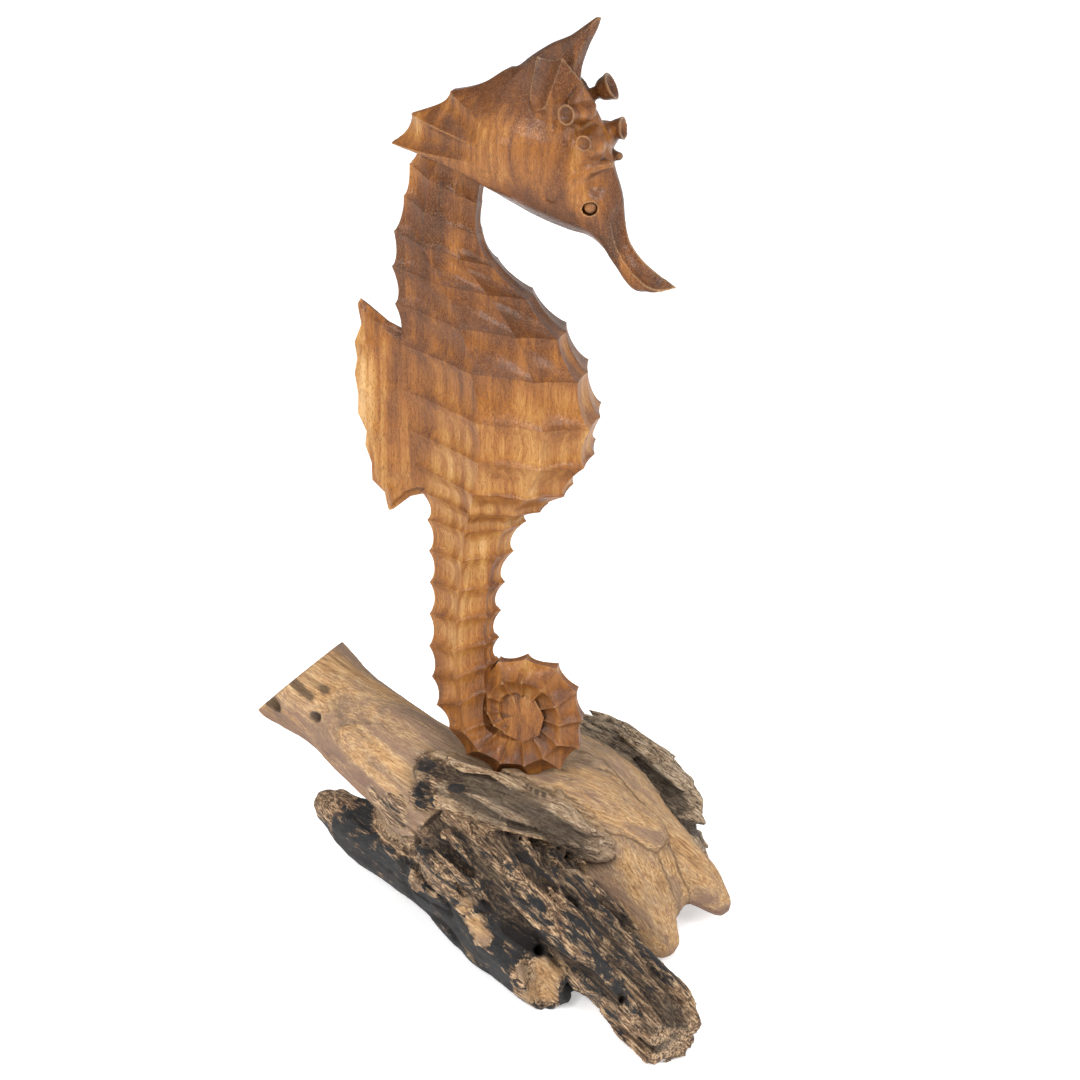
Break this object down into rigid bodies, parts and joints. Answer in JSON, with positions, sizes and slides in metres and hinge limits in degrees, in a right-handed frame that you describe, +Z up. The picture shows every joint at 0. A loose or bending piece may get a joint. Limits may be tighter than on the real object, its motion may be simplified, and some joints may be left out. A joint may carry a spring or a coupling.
{
  "type": "seahorse sculpture",
  "caption": "Carved hardwood seahorse with a ringed body, back fin and curled tail, standing on a weathered root that keeps it upright on a table or shelf.",
  "frame": {"origin": "on the ground, under the middle of the whole sculpture's box", "axes": "+Z up, +X the way the seahorse's belly faces, -Y the side seen in the picture"},
  "size_m": [0.2434, 0.216, 0.467],
  "materials": {
    "carved_hardwood": "waxed satin, fine dark pores, lighter on the head and belly and darker on the neck",
    "weathered_root": "dry and matt, pale worn wood, grey-brown rough wood and blackened bark"
  },
  "bodies": {
    "root": {"seahorse": "carved_hardwood", "driftwood_base": "weathered_root"}
  },
  "joints": []
}
